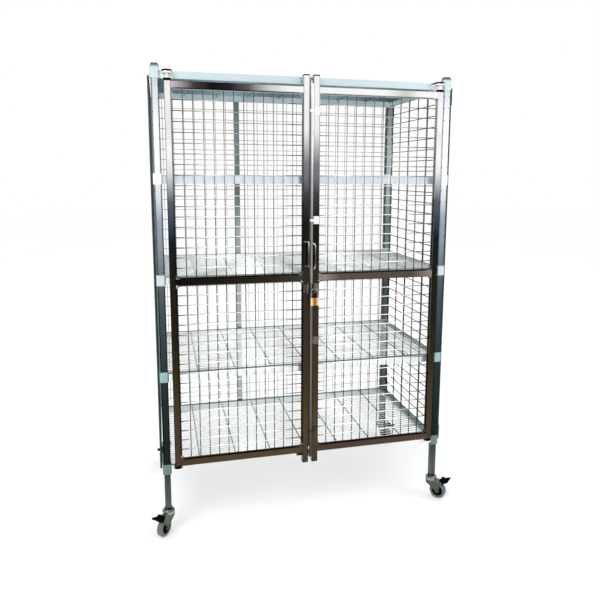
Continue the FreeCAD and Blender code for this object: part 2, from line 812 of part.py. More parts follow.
def caster_pedal():
    """A ribbed foot lever, raised: its heel turns between the fork plates."""
    half = fork_inner - side_gap
    heel_outline = [(44, 78), (44, 88), (50, 100), (58, 101), (66, 94), (74, 90), (64, 74), (53, 73)]
    toe_outline = [(60, 86), (60, 95), (66, 94), (74, 99), (pedal_reach, 104), (86, 94), (79, 88), (70, 84)]
    heel = side_plate(heel_outline, -half, 2 * half)
    toe = side_plate(toe_outline, -pedal_half_width, 2 * pedal_half_width)
    barrel = along_y(pedal_barrel_radius, half, pedal_pivot_x, pedal_pivot_z)
    bore = along_y(pedal_pin_radius + pin_clearance, half + 1, pedal_pivot_x, pedal_pivot_z)
    return heel.multiFuse([toe, barrel]).cut(bore).removeSplitter()


def stem_bushing():
    """Washer under a leg with a bored boss inside it for the swivel stem."""
    disc = Part.makeCylinder(bushing_radius, bushing_thickness, V(0, 0, leg_bottom_z - bushing_thickness))
    boss_radius = leg_side / 2 - leg_wall - side_gap
    boss = Part.makeCylinder(boss_radius, stem_top_z + 2 - leg_bottom_z, V(0, 0, leg_bottom_z))
    bore = Part.makeCylinder(stem_radius + pin_clearance, cut_margin, V(0, 0, leg_bottom_z - 2 * bushing_thickness))
    return disc.fuse(boss).cut(bore).removeSplitter()


caster_pieces = {
    "fork": caster_fork(),
    "axle": caster_axle(),
    "tyre": caster_tyre(),
    "hub": caster_hub(),
    "pedal": caster_pedal(),
}
bushing = stem_bushing()
stem_bushings = []
for corner_name, (x, y) in CORNERS.items():
    placed = {}
    for piece_name, model in caster_pieces.items():
        piece = model.copy()
        piece.rotate(V(0, 0, 0), UP, CASTER_TURNS[corner_name])
        piece.translate(V(x, y, 0))
        placed[piece_name] = piece
    add("caster_%s_fork" % corner_name, placed["fork"], placed["axle"])
    for piece_name in ("tyre", "hub", "pedal"):
        add("caster_%s_%s" % (corner_name, piece_name), placed[piece_name])
    stem_bushings.append(at(bushing, x, y, 0))
add("stem_bushings", *stem_bushings)

# ---- output -------------------------------------------------------------------------
os.makedirs("parts", exist_ok=True)
whole = FreeCAD.BoundBox()
for name, shape in parts.items():
    shape.translate(V(origin_shift_x, origin_shift_y, 0))
    shape.exportStep("parts/%s.step" % name)
    whole.add(shape.BoundBox)
print("%d nodes" % len(parts))
print("box x %.1f %.1f  y %.1f %.1f  z %.1f %.1f" % (
    whole.XMin, whole.XMax, whole.YMin, whole.YMax, whole.ZMin, whole.ZMax))
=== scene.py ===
"""Look of the wire-mesh security cage: round wires in place of the flat CAD grids,
metal finishes, studio and camera.  Metres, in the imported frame."""

import bpy
import math
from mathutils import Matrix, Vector


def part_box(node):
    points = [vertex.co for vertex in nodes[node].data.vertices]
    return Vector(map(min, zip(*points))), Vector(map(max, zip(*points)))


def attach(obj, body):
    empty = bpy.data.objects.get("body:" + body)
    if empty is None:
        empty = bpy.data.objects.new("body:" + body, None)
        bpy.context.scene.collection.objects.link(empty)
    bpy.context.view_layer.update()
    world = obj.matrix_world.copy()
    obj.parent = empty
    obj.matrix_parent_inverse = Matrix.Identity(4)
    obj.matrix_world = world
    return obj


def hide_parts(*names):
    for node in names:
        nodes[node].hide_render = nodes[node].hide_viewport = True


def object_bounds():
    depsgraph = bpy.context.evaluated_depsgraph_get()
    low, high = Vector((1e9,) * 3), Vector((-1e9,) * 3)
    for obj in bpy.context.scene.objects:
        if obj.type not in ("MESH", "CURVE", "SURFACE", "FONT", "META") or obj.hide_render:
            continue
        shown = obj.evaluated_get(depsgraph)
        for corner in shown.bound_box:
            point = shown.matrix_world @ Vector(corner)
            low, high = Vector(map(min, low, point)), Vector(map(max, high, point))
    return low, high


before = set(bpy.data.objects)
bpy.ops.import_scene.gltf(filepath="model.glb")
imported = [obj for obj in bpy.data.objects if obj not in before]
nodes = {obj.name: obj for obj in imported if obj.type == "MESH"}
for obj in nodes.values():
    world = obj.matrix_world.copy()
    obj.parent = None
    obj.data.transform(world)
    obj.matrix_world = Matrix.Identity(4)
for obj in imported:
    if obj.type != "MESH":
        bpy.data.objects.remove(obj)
cad_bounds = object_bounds()

HEIGHT = cad_bounds[1].z
WIRE_SIDES = 8
ALONG_Z = (60, 60, 1.5)         # noise scales that draw streaks up the cage
CORNER_STEPS = 5

# places on the frame that the finishes follow
DOOR_CENTRE_X = -0.005
RAIL_START = 0.0335             # rails run from here to RAIL_END on each side of the middle
RAIL_END = 0.5485
INNER_STILE_X = 0.021
OUTER_STILE_X = 0.561
STILES_PART = (0.20, 0.22)      # between inner and outer stiles
LOW_PART = (0.70, 0.72)         # between bottom and middle rails
HIGH_PART = (1.40, 1.42)        # between middle and top rails
TOP_RAIL_Z = 1.8415
RAIL_EDGE = (0.0102, 0.0120)    # where painted shade starts to darken a tube's face, and where it is darkest
STILE_EDGE = (0.0092, 0.0112)
POST_EDGE = (0.0088, 0.0108)
PADLOCK_X = 0.0045
PADLOCK_HALF = 0.0175
POST_X = 0.606
POST_Y = 0.331
POST_CENTRE_Y = 0.0293


# ---- materials ----------------------------------------------------------------------
def linear(red, green, blue):
    """Linear colour of an sRGB one given from 0 to 255."""
    values = []
    for channel in (red, green, blue):
        c = channel / 255
        values.append(c / 12.92 if c <= 0.04045 else ((c + 0.055) / 1.055) ** 2.4)
    return (*values, 1.0)


class Shader:
    """A material's node tree with short ways to add and join nodes."""

    def __init__(self, name):
        self.material = bpy.data.materials.new(name)
        self.material.use_nodes = True
        self.tree = self.material.node_tree
        self.surface = self.tree.nodes["Principled BSDF"]
        self.place = self.add("ShaderNodeTexCoord").outputs["Object"]

    def add(self, kind, **values):
        node = self.tree.nodes.new(kind)
        for key, value in values.items():
            setattr(node, key, value)
        return node

    def join(self, source, target):
        self.tree.links.new(source, target)

    def stretched(self, scale):
        mapping = self.add("ShaderNodeMapping")
        mapping.inputs["Scale"].default_value = scale
        self.join(self.place, mapping.inputs["Vector"])
        return mapping.outputs["Vector"]

    def noise(self, scale, detail=3.0, stretch=(1, 1, 1)):
        texture = self.add("ShaderNodeTexNoise")
        texture.inputs["Scale"].default_value = scale
        texture.inputs["Detail"].default_value = detail
        self.join(self.stretched(stretch), texture.inputs["Vector"])
        return texture.outputs["Fac"]

    def spread(self, source, low, high, start=0.3, end=0.7):
        """Map a value from start..end onto low..high, clamped."""
        node = self.add("ShaderNodeMapRange")
        self.join(source, node.inputs["Value"])
        for key, value in (("From Min", start), ("From Max", end), ("To Min", low), ("To Max", high)):
            node.inputs[key].default_value = value
        return node.outputs["Result"]

    def ramp(self, source, stops):
        node = self.add("ShaderNodeValToRGB")
        self.join(source, node.inputs["Fac"])
        elements = node.color_ramp.elements
        while len(elements) < len(stops):
            elements.new(0.5)
        for element, (position, colour) in zip(elements, stops):
            element.position = position
            element.color = linear(*colour)
        return node.outputs["Color"]

    def mix(self, factor, first, second, blend="MIX"):
        node = self.add("ShaderNodeMix", data_type="RGBA", blend_type=blend)
        for key, value in (("Factor", factor), ("A", first), ("B", second)):
            sockets = [s for s in node.inputs if s.name == key and s.enabled]
            if hasattr(value, "is_output"):
                self.join(value, sockets[0])
            else:
                sockets[0].default_value = value
        return [s for s in node.outputs if s.enabled][0]

    def axis(self, letter):
        split = self.add("ShaderNodeSeparateXYZ")
        self.join(self.place, split.inputs["Vector"])
        return split.outputs[letter]

    def sum_of(self, operation, first, second):
        node = self.add("ShaderNodeMath", operation=operation)
        for socket, value in zip(node.inputs, (first, second)):
            if hasattr(value, "is_output"):
                self.join(value, socket)
            else:
                socket.default_value = value
        return node.outputs["Value"]

    def facing(self, letter):
        """How far a face turns towards an axis of the object, from 0 to 1."""
        geometry = self.add("ShaderNodeNewGeometry")
        split = self.add("ShaderNodeSeparateXYZ")
        self.join(geometry.outputs["True Normal"], split.inputs["Vector"])
        return self.sum_of("ABSOLUTE", split.outputs[letter], 0.0)

    def grain(self, source, strength, distance=0.0004):
        bump = self.add("ShaderNodeBump")
        bump.inputs["Strength"].default_value = strength
        bump.inputs["Distance"].default_value = distance
        self.join(source, bump.inputs["Height"])
        self.join(bump.outputs["Normal"], self.surface.inputs["Normal"])

    def finish(self, colour, roughness, metallic, specular=0.5):
        self.surface.inputs["Specular IOR Level"].default_value = specular
        for key, value in (("Base Color", colour), ("Roughness", roughness), ("Metallic", metallic)):
            if hasattr(value, "is_output"):
                self.join(value, self.surface.inputs[key])
            else:
                self.surface.inputs[key].default_value = value
        return self.material


def by_height(shader, stops):
    """The metal's tint with painted reflection and shade, as colour that changes up the cage; stops are
    (height in metres, sRGB colour).
    """
    level = shader.spread(shader.axis("Z"), 0.0, 1.0, 0.0, HEIGHT)
    return shader.ramp(level, [(z / HEIGHT, colour) for z, colour in stops])


def brushed(name, stops, rough=(0.25, 0.4), stretch=ALONG_Z, metallic=1.0, wear=0.12):
    """Drawn or plated metal: colour by height (tint with painted reflection and shade), fine streaks,
    uneven gloss, faint tarnish.
    """
    shader = Shader(name)
    colour = by_height(shader, stops) if len(stops) > 1 else linear(*stops[0][1])
    return streaked(shader, colour, stretch, rough, wear, metallic)


def by_width(shader, stops):
    """The metal's tint with painted reflection, as colour that changes across the cage; stops are (X in
    metres, sRGB colour).
    """
    first = stops[0][0]
    last = stops[-1][0]
    place = shader.spread(shader.axis("X"), 0.0, 1.0, first, last)
    return shader.ramp(place, [((x - first) / (last - first), colour) for x, colour in stops])


def streaked(shader, colour, stretch, rough, wear, metallic):
    """Fine drawn streaks, uneven gloss and faint tarnish over a colour."""
    streaks = shader.noise(6.0, 4.0, stretch)
    patches = shader.noise(9.0, 3.0)
    shade = shader.ramp(shader.spread(streaks, 0.0, 1.0), [(0.0, (205, 205, 205)), (1.0, (255, 255, 255))])
    colour = shader.mix(wear * 2.5, colour, shade, "MULTIPLY")
    stain = shader.ramp(shader.spread(patches, 0.0, 1.0), [(0.0, (255, 255, 255)), (1.0, (214, 209, 200))])
    colour = shader.mix(wear * 2.5, colour, stain, "MULTIPLY")
    shader.grain(streaks, 0.25)
    return shader.finish(colour, shader.spread(patches, *rough), metallic)


RIGHT_EDGE_SHARE = 0.25         # painted edge shade is this strong on the right of the cage
EDGES_FADE = (-0.1, 0.3)        # and fade between these X
EDGE_TONE = (150, 152, 158)


def edge_shade(shader, distance, start, full):
    """A multiplier of painted shade that darkens the last few millimetres towards a tube's edges, weaker
    on the right of the cage.
    """
    line = shader.spread(distance, 0.0, 1.0, start, full)
    left_side = shader.spread(shader.axis("X"), 1.0, RIGHT_EDGE_SHARE, *EDGES_FADE)
    line = shader.sum_of("MULTIPLY", line, left_side)
    return shader.ramp(line, [(0.0, (255, 255, 255)), (1.0, EDGE_TONE)])


def off_centre(shader, value, centre):
    return shader.sum_of("ABSOLUTE", shader.sum_of("SUBTRACT", value, centre), 0.0)


def polished_doors():
    """Polished tube with a painted reflection of a dark room: outer stiles, meeting stiles and rails have
    their own tones, and painted shade darkens the stile sides, the stile edges and the top rail's edges.
    """
    shader = Shader("door_metal")
    from_middle = off_centre(shader, shader.axis("X"), DOOR_CENTRE_X)
    height = shader.axis("Z")
    is_middle = shader.spread(height, 0.0, 1.0, *LOW_PART)
    lower = shader.mix(is_middle, by_width(shader, BOTTOM_RAIL), by_width(shader, MIDDLE_RAIL))
    is_top = shader.spread(height, 0.0, 1.0, *HIGH_PART)
    rails = shader.mix(is_top, lower, by_width(shader, TOP_RAIL))
    is_outer = shader.spread(from_middle, 0.0, 1.0, *STILES_PART)
    stiles = shader.mix(is_outer, by_height(shader, INNER_STILE), by_height(shader, OUTER_STILE))
    from_inner = off_centre(shader, from_middle, INNER_STILE_X)
    from_outer = off_centre(shader, from_middle, OUTER_STILE_X)
    from_stile = shader.sum_of("MINIMUM", from_inner, from_outer)
    stiles = shader.mix(1.0, stiles, edge_shade(shader, from_stile, *STILE_EDGE), "MULTIPLY")
    # painted shade: stile faces turned towards X take the darker STILE_SIDE tones
    turned = shader.spread(shader.facing("X"), 0.0, 1.0, 0.4, 0.8)
    stiles = shader.mix(turned, stiles, by_height(shader, STILE_SIDE))
    from_rail = off_centre(shader, height, TOP_RAIL_Z)
    rails = shader.mix(is_top, rails, edge_shade(shader, from_rail, *RAIL_EDGE), "MULTIPLY")
    past_inner = shader.spread(from_middle, 0.0, 1.0, RAIL_START - 0.0003, RAIL_START)
    past_outer = shader.spread(from_middle, 1.0, 0.0, RAIL_END, RAIL_END + 0.0003)
    is_rail = shader.sum_of("MULTIPLY", past_inner, past_outer)
    return streaked(shader, shader.mix(is_rail, stiles, rails), ALONG_Z, (0.16, 0.3), 0.06, 1.0)


def post_finish(name, front, side):
    """Perforated post: painted reflection by height, a paler flat between folded edges darkened with
    painted shade, and sides darker with painted shade.
    """
    shader = Shader(name)
    across_x = off_centre(shader, off_centre(shader, shader.axis("X"), DOOR_CENTRE_X), POST_X)
    across_y = off_centre(shader, off_centre(shader, shader.axis("Y"), POST_CENTRE_Y), POST_Y)
    front_edges = edge_shade(shader, across_x, *POST_EDGE)
    side_edges = edge_shade(shader, across_y, *POST_EDGE)
    faces = shader.mix(1.0, by_height(shader, front), front_edges, "MULTIPLY")
    sides = shader.mix(1.0, by_height(shader, side), side_edges, "MULTIPLY")
    # painted shade: post faces turned towards X take the darker side tones
    colour = shader.mix(shader.spread(shader.facing("X"), 0.0, 1.0, 0.2, 0.6), faces, sides)
    return streaked(shader, colour, ALONG_Z, (0.25, 0.4), 0.05, 1.0)


def shelf_rail_metal():
    """Pale faces with painted reflection by height, and painted shade in a deeper grey-green on the
    undersides and tops.
    """
    shader = Shader("rail_metal")
    # painted shade: faces turned up or down take the RAIL_UNDER tone
    level = shader.spread(shader.facing("Z"), 0.0, 1.0, 0.4, 0.8)
    faces = shader.mix(level, by_height(shader, RAIL_TONES), linear(*RAIL_UNDER))
    return streaked(shader, faces, (2, 60, 60), (0.3, 0.45), 0.04, 0.8)


def polished_brass():
    """Rounded brass case: painted highlights towards its two sides and the deeper brass tone in the
    middle.
    """
    shader = Shader("brass")
    across = off_centre(shader, shader.axis("X"), PADLOCK_X)
    place = shader.spread(across, 0.0, 1.0, 0.0, PADLOCK_HALF)
    colour = shader.ramp(place, BRASS_TONES)
    return streaked(shader, colour, (3, 60, 60), (0.25, 0.4), 0.12, 1.0)


def moulded(name, colour, rough=(0.4, 0.6), grain=90.0, specular=0.15):
    """Plastic or rubber with a fine skin and slightly uneven colour."""
    shader = Shader(name)
    speckle = shader.noise(grain, 4.0)
    tone = shader.ramp(shader.spread(speckle, 0.0, 1.0), [(0.0, (215, 215, 215)), (1.0, (255, 255, 255))])
    shader.grain(speckle, 0.3, 0.0003)
    colour = shader.mix(0.5, linear(*colour), tone, "MULTIPLY")
    return shader.finish(colour, shader.spread(speckle, *rough), 0.0, specular)


# The tone tables from here to GUIDE_TONES break a rule of this hand-in: many of their numbers are averages
# of photo pixels, printed by a scratch program.
# Painted reflection and shade: these tables give each polished part its metal's own tint plus colour that
# stands in for the room it would mirror, with painted shade on sides and undersides and painted
# highlights.
POST_FRONT = [
    (0.28, (26, 34, 32)), (0.59, (36, 45, 42)), (0.79, (48, 60, 62)), (0.95, (64, 77, 84)),
    (1.04, (80, 93, 98)), (1.13, (114, 126, 132)), (1.22, (136, 150, 160)), (1.32, (152, 164, 176)),
    (1.41, (214, 220, 228)), (1.53, (250, 251, 252)), (1.7, (248, 250, 252)), (1.87, (196, 204, 212)),
]
POST_SIDE = [
    (0.28, (28, 46, 40)), (0.79, (30, 46, 46)), (1.04, (34, 50, 58)), (1.24, (46, 62, 72)),
    (1.33, (60, 74, 86)), (1.41, (108, 121, 132)), (1.5, (236, 241, 243)), (1.62, (180, 192, 194)),
    (1.88, (124, 138, 138)),
]
REAR_POST = [
    (0.28, (78, 92, 90)), (0.7, (88, 98, 100)), (0.9, (66, 76, 78)), (1.1, (126, 140, 142)),
    (1.24, (104, 114, 116)), (1.38, (170, 178, 182)), (1.49, (178, 194, 202)), (1.7, (158, 168, 174)),
    (1.8, (130, 136, 140)), (1.9, (92, 100, 108)),
]
REAR_POST_SIDE = [(0.28, (24, 38, 36)), (1.1, (26, 44, 44)), (1.6, (20, 36, 40)), (1.9, (30, 46, 50))]
OUTER_STILE = [
    (0.28, (70, 58, 43)), (0.5, (65, 55, 40)), (0.69, (48, 42, 28)), (0.87, (34, 29, 18)),
    (1.06, (34, 29, 23)), (1.14, (30, 30, 28)), (1.24, (24, 32, 38)), (1.33, (62, 76, 92)),
    (1.4, (92, 98, 108)), (1.45, (160, 166, 170)), (1.52, (232, 233, 234)), (1.6, (251, 251, 251)),
    (1.68, (236, 235, 238)), (1.8, (245, 243, 245)), (1.9, (232, 226, 230)),
]
INNER_STILE = [
    (0.28, (72, 58, 42)), (0.43, (74, 62, 44)), (0.62, (60, 48, 35)), (0.86, (56, 45, 35)),
    (1.06, (54, 46, 38)), (1.16, (44, 38, 30)), (1.24, (30, 28, 24)), (1.31, (30, 29, 27)),
    (1.37, (48, 48, 50)), (1.43, (66, 68, 70)), (1.49, (113, 115, 121)), (1.55, (126, 127, 131)),
    (1.61, (182, 182, 184)), (1.68, (242, 243, 243)), (1.91, (250, 251, 250)),
]
STILE_SIDE = [
    (0.28, (34, 30, 24)), (0.9, (30, 26, 22)), (1.25, (20, 20, 20)), (1.5, (88, 92, 96)),
    (1.7, (118, 124, 128)), (1.9, (150, 154, 158)),
]
TOP_RAIL = [
    (-0.55, (196, 190, 194)), (-0.47, (70, 60, 64)), (-0.4, (26, 20, 22)), (-0.33, (40, 34, 36)),
    (-0.26, (92, 88, 90)), (-0.18, (206, 204, 205)), (-0.1, (250, 250, 250)), (0.3, (250, 249, 250)),
    (0.4, (206, 202, 204)), (0.48, (250, 249, 250)),
]
MIDDLE_RAIL = [
    (-0.55, (18, 15, 13)), (-0.2, (42, 37, 30)), (-0.04, (62, 56, 48)), (0.05, (150, 136, 128)),
    (0.12, (92, 80, 74)), (0.45, (84, 74, 68)), (0.54, (140, 132, 124)),
]
BOTTOM_RAIL = [(-0.55, (72, 58, 44)), (-0.1, (80, 66, 50)), (0.1, (74, 58, 46)), (0.54, (82, 66, 54))]
COLLAR_TONES = [
    (0.28, (100, 124, 123)), (0.69, (148, 180, 181)), (1.09, (200, 216, 219)), (1.49, (250, 251, 251)),
    (1.6, (252, 253, 253)), (1.8, (226, 236, 238)), (1.88, (196, 212, 214)), (1.91, (188, 204, 206)),
]
PLUG_TONES = [
    (1.9, (150, 168, 172)), (1.914, (130, 146, 152)), (1.9155, (34, 38, 40)), (1.922, (30, 33, 34)),
]
LEG_TONES = [(0.11, (92, 98, 94)), (0.19, (74, 84, 77)), (0.27, (56, 64, 58))]
RAIL_TONES = [
    (0.27, (206, 214, 212)), (0.69, (244, 248, 248)), (1.09, (240, 246, 247)), (1.49, (220, 231, 239)),
    (1.7, (230, 239, 244)), (1.86, (204, 220, 226)), (1.9, (204, 220, 226)),
]
# painted shade on the shelf rails' undersides and tops
RAIL_UNDER = (74, 112, 114)
UPRIGHT_TONES = [
    (0.28, (190, 200, 198)), (1.0, (202, 210, 208)), (1.2, (190, 200, 200)), (1.4, (124, 138, 142)),
    (1.86, (140, 160, 163)),
]
CROSSBAR_TONES = [
    (0.28, (250, 250, 248)), (1.09, (248, 248, 246)), (1.35, (232, 232, 230)), (1.6, (176, 173, 169)),
    (1.9, (170, 166, 162)),
]
BAR_TONES = [
    (0.28, (58, 54, 46)), (0.8, (54, 46, 40)), (1.08, (60, 56, 50)), (1.2, (74, 72, 66)),
    (1.4, (112, 110, 104)), (1.55, (150, 150, 146)), (1.9, (176, 180, 180)),
]
SIDE_PANEL_TONES = [(0.28, (50, 74, 66)), (1.0, (56, 76, 70)), (1.5, (66, 80, 78)), (1.9, (62, 84, 78))]
REAR_PANEL_TONES = [
    (0.28, (206, 212, 208)), (1.2, (204, 210, 207)), (1.5, (178, 184, 180)), (1.9, (172, 178, 174)),
]
DECK_TONES = [
    (0.28, (240, 245, 244)), (0.6, (246, 250, 249)), (1.6, (244, 249, 249)), (1.9, (96, 124, 132)),
]
DECK_ROD_TONES = [(0.28, (84, 112, 106)), (1.2, (92, 130, 126)), (1.9, (96, 120, 128))]
ROD_TONES = [
    (0.28, (70, 66, 56)), (0.5, (98, 96, 88)), (0.75, (100, 102, 94)), (1.0, (112, 116, 108)),
    (1.1, (150, 154, 148)), (1.33, (150, 152, 150)), (1.5, (186, 188, 188)), (1.62, (222, 224, 224)),
    (1.9, (222, 224, 224)),
]
STRIP_TONES = [
    (0.28, (124, 120, 110)), (0.42, (140, 138, 128)), (0.7, (116, 116, 104)), (1.0, (120, 122, 112)),
    (1.2, (150, 154, 146)), (1.38, (112, 114, 112)), (1.55, (156, 158, 158)), (1.66, (112, 116, 118)),
    (1.9, (98, 102, 104)),
]
# painted highlights at the handle's top and bottom, with dim painted reflection between them
HANDLE_TONES = [
    (1.1, (196, 194, 190)), (1.125, (196, 194, 190)), (1.14, (84, 86, 82)), (1.17, (76, 78, 76)),
    (1.2, (120, 122, 120)), (1.225, (206, 206, 204)), (1.3, (206, 206, 204)),
]
# the fork's tint with painted reflection, and a painted highlight band of glints on the cup near 0.09 m
CASTER_TONES = [
    (0.0, (92, 100, 88)), (0.082, (92, 100, 88)), (0.087, (112, 122, 110)), (0.091, (196, 204, 198)),
    (0.095, (168, 176, 170)), (0.1, (64, 72, 66)), (0.11, (52, 58, 54)),
]
# brass tone in the middle, rising to painted highlights at the case's sides
BRASS_TONES = [
    (0.0, (164, 100, 42)), (0.3, (188, 122, 60)), (0.6, (236, 188, 126)),
    (0.85, (255, 238, 202)), (1.0, (255, 246, 220)),
]
GUIDE_TONES = [
    (0.42, (56, 50, 42)), (0.65, (74, 64, 54)), (0.86, (120, 102, 94)), (1.1, (200, 196, 192)),
    (1.34, (250, 250, 250)), (1.9, (250, 250, 250)),
]

post_metal = post_finish("post_metal", POST_FRONT, POST_SIDE)
rear_post_metal = post_finish("rear_post_metal", REAR_POST, REAR_POST_SIDE)
door_metal = polished_doors()
collar_metal = brushed(
    "collar_metal", COLLAR_TONES, rough=(0.35, 0.5), stretch=(20, 20, 20), metallic=0.6, wear=0.04)
plug_metal = brushed("plug_metal", PLUG_TONES, rough=(0.4, 0.55), stretch=(20, 20, 20), metallic=0.6)
leg_metal = brushed("leg_metal", LEG_TONES)
rail_metal = shelf_rail_metal()
upright_metal = brushed("upright_metal", UPRIGHT_TONES)
crossbar_wire = brushed(
    "crossbar_wire", CROSSBAR_TONES, rough=(0.15, 0.3), stretch=(2, 60, 60), wear=0.04)
bar_wire = brushed("bar_wire", BAR_TONES, rough=(0.15, 0.3))
side_panel_wire = brushed("side_panel_wire", SIDE_PANEL_TONES, rough=(0.2, 0.35), wear=0.05)
rear_panel_wire = brushed("rear_panel_wire", REAR_PANEL_TONES, rough=(0.2, 0.35), wear=0.05)
deck_wire = brushed("deck_wire", DECK_TONES, rough=(0.2, 0.35), stretch=(2, 60, 60), wear=0.05)
deck_rod = brushed("deck_rod", DECK_ROD_TONES, rough=(0.2, 0.35), stretch=(60, 2, 60), wear=0.05)
bracket_metal = brushed(
    "bracket_metal", [(0, (240, 240, 238))], rough=(0.3, 0.45), stretch=(30, 30, 30), metallic=0.8)
guide_metal = brushed("guide_metal", GUIDE_TONES, rough=(0.3, 0.45), stretch=(30, 30, 30), metallic=0.8)
lock_metal = brushed("lock_metal", ROD_TONES, rough=(0.12, 0.25))
handle_metal = brushed("handle_metal", HANDLE_TONES, rough=(0.12, 0.25))
strip_metal = brushed("strip_metal", STRIP_TONES)
lug_metal = brushed("lug_metal", [(0, (112, 106, 100))], rough=(0.25, 0.4), stretch=(30, 30, 30))
shackle_steel = brushed("shackle_steel", [(0, (134, 138, 140))], rough=(0.1, 0.2))
brass = polished_brass()
caster_metal = brushed("caster_metal", CASTER_TONES, rough=(0.28, 0.42), stretch=(15, 15, 15), wear=0.2)
black_nylon = moulded("black_nylon", (15, 15, 16), specular=0.0)
hub_nylon = moulded("hub_nylon", (18, 20, 20), rough=(0.35, 0.55), specular=0.0)
tyre_rubber = moulded("tyre_rubber", (98, 104, 109), rough=(0.5, 0.7), grain=160.0, specular=0.3)


def paint(node, material):
    """Give a CAD node its finish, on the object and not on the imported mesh."""
    for slot in nodes[node].material_slots:
        slot.link = "OBJECT"
        slot.material = material


# ---- round wires --------------------------------------------------------------------
OFF_AXIS = Vector((0.31, 0.87, 0.38))   # parallel to no wire, so it always gives a side direction


def rounded_rectangle(low, high, depth, radius):
    """A closed loop in XZ at y = depth, with round corners."""
    points = []
    corners = ((high[0], low[1], -90), (high[0], high[1], 0), (low[0], high[1], 90), (low[0], low[1], 180))
    for x, z, start in corners:
        centre_x = x - math.copysign(radius, x - (low[0] + high[0]) / 2)
        centre_z = z - math.copysign(radius, z - (low[1] + high[1]) / 2)
        for step in range(CORNER_STEPS + 1):
            angle = math.radians(start + 90 * step / CORNER_STEPS)
            x_on_arc = centre_x + radius * math.cos(angle)
            z_on_arc = centre_z + radius * math.sin(angle)
            points.append(Vector((x_on_arc, depth, z_on_arc)))
    return points


class WireSet:
    """Round wires gathered into one mesh."""

    def __init__(self):
        self.vertices = []
        self.faces = []

    def add(self, path, radius, closed=False):
        first = len(self.vertices)
        count = len(path)
        for i, point in enumerate(path):
            before = path[i - 1] if i or closed else point
            after = path[(i + 1) % count] if i < count - 1 or closed else point
            along = (after - before).normalized()
            across = along.cross(OFF_AXIS).normalized()
            upward = across.cross(along)
            for k in range(WIRE_SIDES):
                angle = math.tau * (k + 0.5) / WIRE_SIDES
                offset = across * math.cos(angle) + upward * math.sin(angle)
                self.vertices.append(point + offset * radius)
        rings = count if closed else count - 1
        for i in range(rings):
            a = first + i * WIRE_SIDES
            b = first + ((i + 1) % count) * WIRE_SIDES
            for k in range(WIRE_SIDES):
                n = (k + 1) % WIRE_SIDES
                self.faces.append((a + k, a + n, b + n, b + k))
        if not closed:
            self.faces.append(tuple(first + k for k in reversed(range(WIRE_SIDES))))
            last = first + (count - 1) * WIRE_SIDES
            self.faces.append(tuple(last + k for k in range(WIRE_SIDES)))

    def straight(self, start, end, radius):
        self.add([Vector(start), Vector(end)], radius)

    def build(self, name, material, body, stands_for):
        mesh = bpy.data.meshes.new(name)
        mesh.from_pydata([tuple(v) for v in self.vertices], [], self.faces)
        for polygon in mesh.polygons:
            polygon.use_smooth = len(polygon.vertices) == 4
        mesh.materials.append(material)
        piece = bpy.data.objects.new(name, mesh)
        bpy.context.scene.collection.objects.link(piece)
        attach(piece, body)
        if stands_for:
            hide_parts(stands_for)
        return piece


def spaced(low, high, gaps):
    """Positions between low and high, without the ends."""
    return [low + (high - low) * i / gaps for i in range(1, gaps)]


DOOR_COLUMNS = 13
DOOR_ROWS = 18
DOOR_WIRE = 0.0019              # wire sizes are radii
DOOR_WELD = 0.9                 # crossing wires stand this share of a radius off the mesh plane
DOOR_BORDER = 0.0025
DOOR_TUBE = 0.025
BORDER_CORNER = 0.016
MIDDLE_Z = 1.082


def door_mesh(side):
    """Two welded mesh panels: border loops, uprights behind and crossbars in front."""
    node = "door_%s_mesh" % side
    low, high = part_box(node)
    depth = (low.y + high.y) / 2
    bars = WireSet()
    crossbars = WireSet()
    behind = depth + DOOR_WIRE * DOOR_WELD
    ahead = depth - DOOR_WIRE * DOOR_WELD
    half = DOOR_TUBE / 2
    for bottom, top in ((low.z, MIDDLE_Z - half), (MIDDLE_Z + half, high.z)):
        x0 = low.x + DOOR_BORDER
        x1 = high.x - DOOR_BORDER
        z0 = bottom + DOOR_BORDER
        z1 = top - DOOR_BORDER
        bars.add(rounded_rectangle((x0, z0), (x1, z1), depth, BORDER_CORNER), DOOR_BORDER, closed=True)
        for x in spaced(x0, x1, DOOR_COLUMNS):
            bars.straight((x, behind, z0), (x, behind, z1), DOOR_WIRE)
        for z in spaced(z0, z1, DOOR_ROWS):
            crossbars.straight((x0, ahead, z), (x1, ahead, z), DOOR_WIRE)
    body = "door_%s" % side
    bars.build(node + "_uprights", bar_wire, body, node)
    crossbars.build(node + "_crossbars", crossbar_wire, body, None)


SIDE_COLUMNS = 6
REAR_COLUMNS = 8
PANEL_ROWS = 32
PANEL_WIRE = 0.0015
PANEL_WELD = 0.7
PANEL_LOOP = 0.85               # border wire's share of the rear panels' border
PANEL_BORDER = 0.003
SIDE_BORDER = 0.004
SIDE_WIRE = 0.0021
SIDE_WELD = 0.85
REAR_PANELS = 3


def side_panel(side):
    node = "side_panel_%s" % side
    low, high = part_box(node)
    x = (low.x + high.x) / 2
    outward = -1 if side == "left" else 1
    wires = WireSet()
    y0 = low.y + SIDE_BORDER
    y1 = high.y - SIDE_BORDER
    z0 = low.z + SIDE_BORDER
    z1 = high.z - SIDE_BORDER
    loop = rounded_rectangle((y0, z0), (y1, z1), x, BORDER_CORNER)
    wires.add([Vector((p.y, p.x, p.z)) for p in loop], SIDE_BORDER, closed=True)
    for y in spaced(y0, y1, SIDE_COLUMNS):
        inner = x - outward * SIDE_WIRE * SIDE_WELD
        wires.straight((inner, y, z0), (inner, y, z1), SIDE_WIRE)
    for z in spaced(z0, z1, PANEL_ROWS):
        outer = x + outward * SIDE_WIRE * SIDE_WELD
        wires.straight((outer, y0, z), (outer, y1, z), SIDE_WIRE)
    wires.build(node + "_wires", side_panel_wire, "cage", node)


